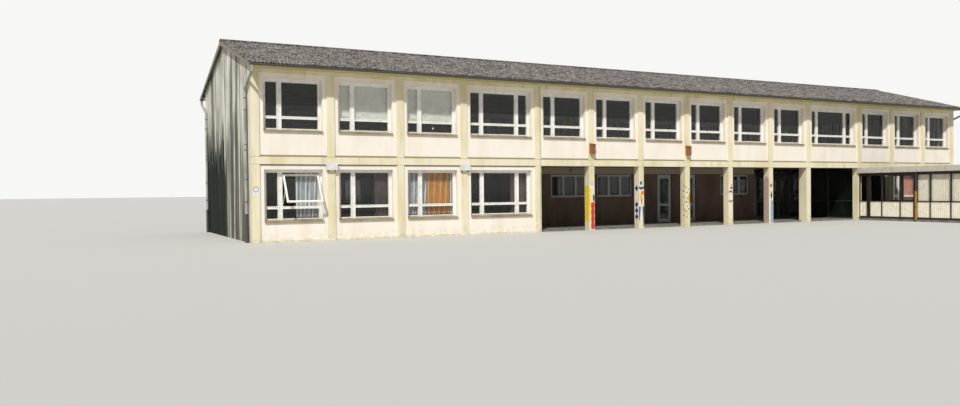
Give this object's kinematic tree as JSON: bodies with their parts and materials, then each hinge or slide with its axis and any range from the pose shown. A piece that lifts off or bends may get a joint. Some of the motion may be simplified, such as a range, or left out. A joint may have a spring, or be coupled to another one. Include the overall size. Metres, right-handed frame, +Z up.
{
  "type": "school building",
  "caption": "Two-storey school block with a concrete frame, rendered infill, mullioned windows, an arcade with hinged doors, a low-pitched roof and a glazed side passage.",
  "frame": {"origin": "centre of the block's plan, at ground level on the underside of the floor slab", "axes": "+X along the front towards the glazed passage's end, +Y from the arcade front to the rear, +Z up"},
  "size_m": [39.58, 19.295, 7.8235],
  "materials": {
    "yellow_paint": "matt painted concrete",
    "white_render": "matt painted render",
    "grey_render": "weathered render",
    "brown_render": "rough dark render",
    "concrete": "bare concrete",
    "white_frame": "gloss white paint",
    "dark_frame": "satin dark paint",
    "dark_steel": "satin dark paint",
    "cream_panel": "satin cream paint",
    "glass": "clear",
    "roof_sheet": "weathered fibre cement",
    "grey_metal": "satin grey paint",
    "grey_plastic": "matt",
    "brown_wood": "stained boards",
    "white_wood": "painted boards",
    "light_plastic": "matt",
    "sign_metal": "plain painted plate",
    "lamp_glass": "opal",
    "fascia_metal": "satin grey paint",
    "pipe_orange": "matt"
  },
  "bodies": {
    "school": {"arcade_columns": "yellow_paint", "arcade_door_frames": "white_frame", "arcade_lamp": "lamp_glass", "arcade_side_wall": "grey_render", "arcade_wall_piers": "brown_render", "arcade_wall_spandrels_and_lintels": "brown_render", "arcade_window_frames": "white_frame", "arcade_window_glass": "glass", "barge_boards": "white_wood", "column_signs": "sign_metal", "eaves_beams": "yellow_paint", "eaves_fascias": "white_wood", "eaves_soffits": "white_wood", "end_walls": "grey_render", "floor_beams": "yellow_paint", "floor_slabs": "concrete", "front_glass": "glass", "front_wall_ground": "white_render", "front_wall_upper": "white_render", "front_window_frames": "white_frame", "gutters": "grey_metal", "nest_boxes": "brown_wood", "open_sash": "white_frame", "open_sash_glass": "glass", "outer_columns": "yellow_paint", "passage_end_wall": "grey_render", "passage_fascia": "fascia_metal", "passage_floor": "concrete", "passage_frames": "dark_steel", "passage_glass": "glass", "passage_panels": "cream_panel", "passage_pipe": "pipe_orange", "passage_posts": "dark_steel", "passage_roof": "fascia_metal", "plinths": "yellow_paint", "rain_pipes": "grey_plastic", "rear_glass": "glass", "rear_walls": "white_render", "rear_window_frames": "white_frame", "ridge_cap": "roof_sheet", "roof_front_slope": "roof_sheet", "roof_rear_slope": "roof_sheet", "screen_glass": "glass", "screen_posts": "dark_frame", "screen_rails": "dark_frame", "wall_boxes": "light_plastic", "window_sills": "white_render"},
    "door_1": {"arcade_door_1": "white_frame", "arcade_door_1_glass": "glass"},
    "door_2": {"arcade_door_2": "white_frame", "arcade_door_2_glass": "glass"},
    "entrance_left": {"entrance_door_left": "dark_frame", "entrance_door_left_glass": "glass"},
    "entrance_right": {"entrance_door_right": "dark_frame", "entrance_door_right_glass": "glass"}
  },
  "joints": [
    {"name": "door_1_hinge", "type": "hinge", "parent": "school", "child": "door_1", "pos_m": [1.831, -1.425, 0.06], "axis": [0, 0, 1], "range_deg": [0, 90]},
    {"name": "door_2_hinge", "type": "hinge", "parent": "school", "child": "door_2", "pos_m": [3.451, -1.425, 0.06], "axis": [0, 0, 1], "range_deg": [0, 90]},
    {"name": "entrance_left_hinge", "type": "hinge", "parent": "school", "child": "entrance_left", "pos_m": [8.624, -1.435, 0.06], "axis": [0, 0, -1], "range_deg": [0, 90]},
    {"name": "entrance_right_hinge", "type": "hinge", "parent": "school", "child": "entrance_right", "pos_m": [10.456, -1.435, 0.06], "axis": [0, 0, 1], "range_deg": [0, 90]}
  ]
}
